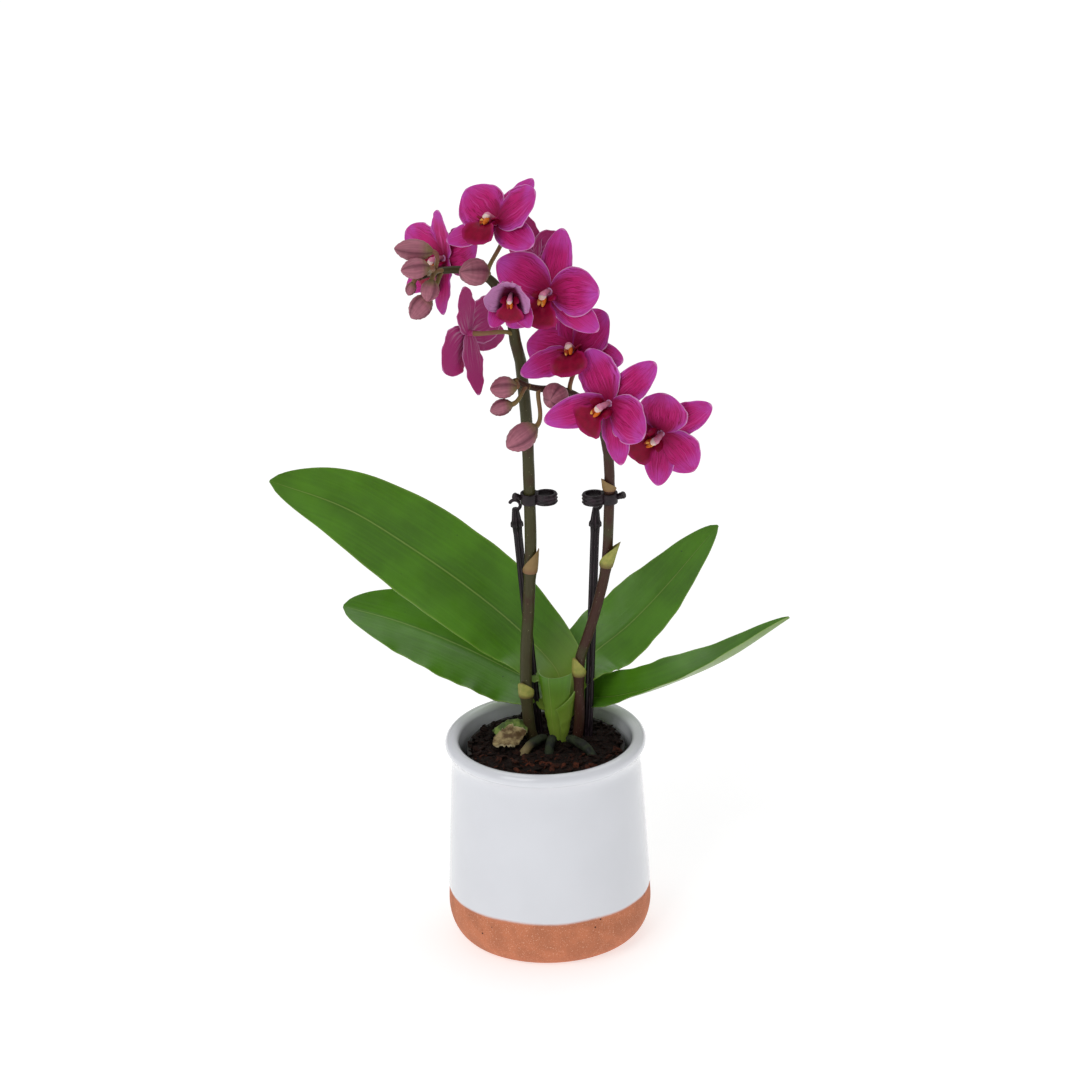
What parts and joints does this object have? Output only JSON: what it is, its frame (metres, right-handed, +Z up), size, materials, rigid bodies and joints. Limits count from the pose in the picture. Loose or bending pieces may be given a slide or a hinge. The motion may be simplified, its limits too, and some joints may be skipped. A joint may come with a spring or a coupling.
{
  "type": "potted orchid",
  "caption": "Potted moth orchid with staked, arching flower spikes, strap leaves and a white glazed cover pot with a bare terracotta foot band.",
  "frame": {"origin": "centre of the cover pot's flat base, on the surface that the pot stands on", "axes": "+Z up; -Y to the front, the side that most of the flowers face; +X to the right as seen from the front, towards the lower flower spike"},
  "size_m": [0.2311, 0.1053, 0.3675],
  "materials": {
    "glazed_pot": "gloss white glaze over a bare matte terracotta foot band",
    "liner_plastic": "thin dark moulded plastic",
    "bark_mix": "loose chipped bark and peat",
    "sheath": "waxy green plant tissue",
    "leaf": "waxy semi-gloss green leaf",
    "dry_leaf": "dry papery leaf with a green part",
    "root_skin": "matte grey-green root skin",
    "stem": "satin olive-brown flower stem",
    "bract": "thin yellow-green scale leaf with a brown edge",
    "black_plastic": "moulded dark brown-black plastic",
    "petal": "velvety magenta petal with darker veins and a pale edge",
    "lip": "deep crimson lip with an orange callus",
    "column": "pinkish white waxy column",
    "bud": "dusty mauve bud with a green base"
  },
  "bodies": {
    "root": {"pot": "glazed_pot", "nursery_pot": "liner_plastic", "potting_bark": "bark_mix", "stem_base": "sheath", "leaf_upper_left": "leaf", "leaf_lower_left": "leaf", "leaf_upper_right": "leaf", "leaf_lower_right": "leaf", "old_leaf": "dry_leaf", "root_front": "root_skin", "root_left": "root_skin", "root_right": "root_skin", "spike_left": "stem", "spike_right": "stem", "bract_left_low": "bract", "bract_left_high": "bract", "bract_right_low": "bract", "bract_right_high": "bract", "bract_right_top": "bract", "stake_left": "black_plastic", "stake_right": "black_plastic", "clip_left": "black_plastic", "clip_right": "black_plastic", "left_flower_1_petals": "petal", "left_flower_1_lip": "lip", "left_flower_1_column": "column", "left_flower_2_petals": "petal", "left_flower_2_lip": "lip", "left_flower_2_column": "column", "left_flower_3_petals": "petal", "left_flower_3_lip": "lip", "left_flower_3_column": "column", "left_flower_4_petals": "petal", "left_flower_4_lip": "lip", "left_flower_4_column": "column", "left_flower_5_petals": "petal", "left_flower_5_lip": "lip", "left_flower_5_column": "column", "left_flower_6_petals": "petal", "left_flower_6_lip": "lip", "left_flower_6_column": "column", "right_flower_1_petals": "petal", "right_flower_1_lip": "lip", "right_flower_1_column": "column", "right_flower_2_petals": "petal", "right_flower_2_lip": "lip", "right_flower_2_column": "column", "right_flower_3_petals": "petal", "right_flower_3_lip": "lip", "right_flower_3_column": "column", "left_bud_1": "bud", "left_bud_2": "bud", "left_bud_3": "bud", "left_bud_4": "bud", "left_bud_5": "bud", "left_bud_6": "bud", "right_bud_1": "bud", "right_bud_2": "bud", "right_bud_3": "bud", "right_bud_4": "bud"}
  },
  "joints": []
}
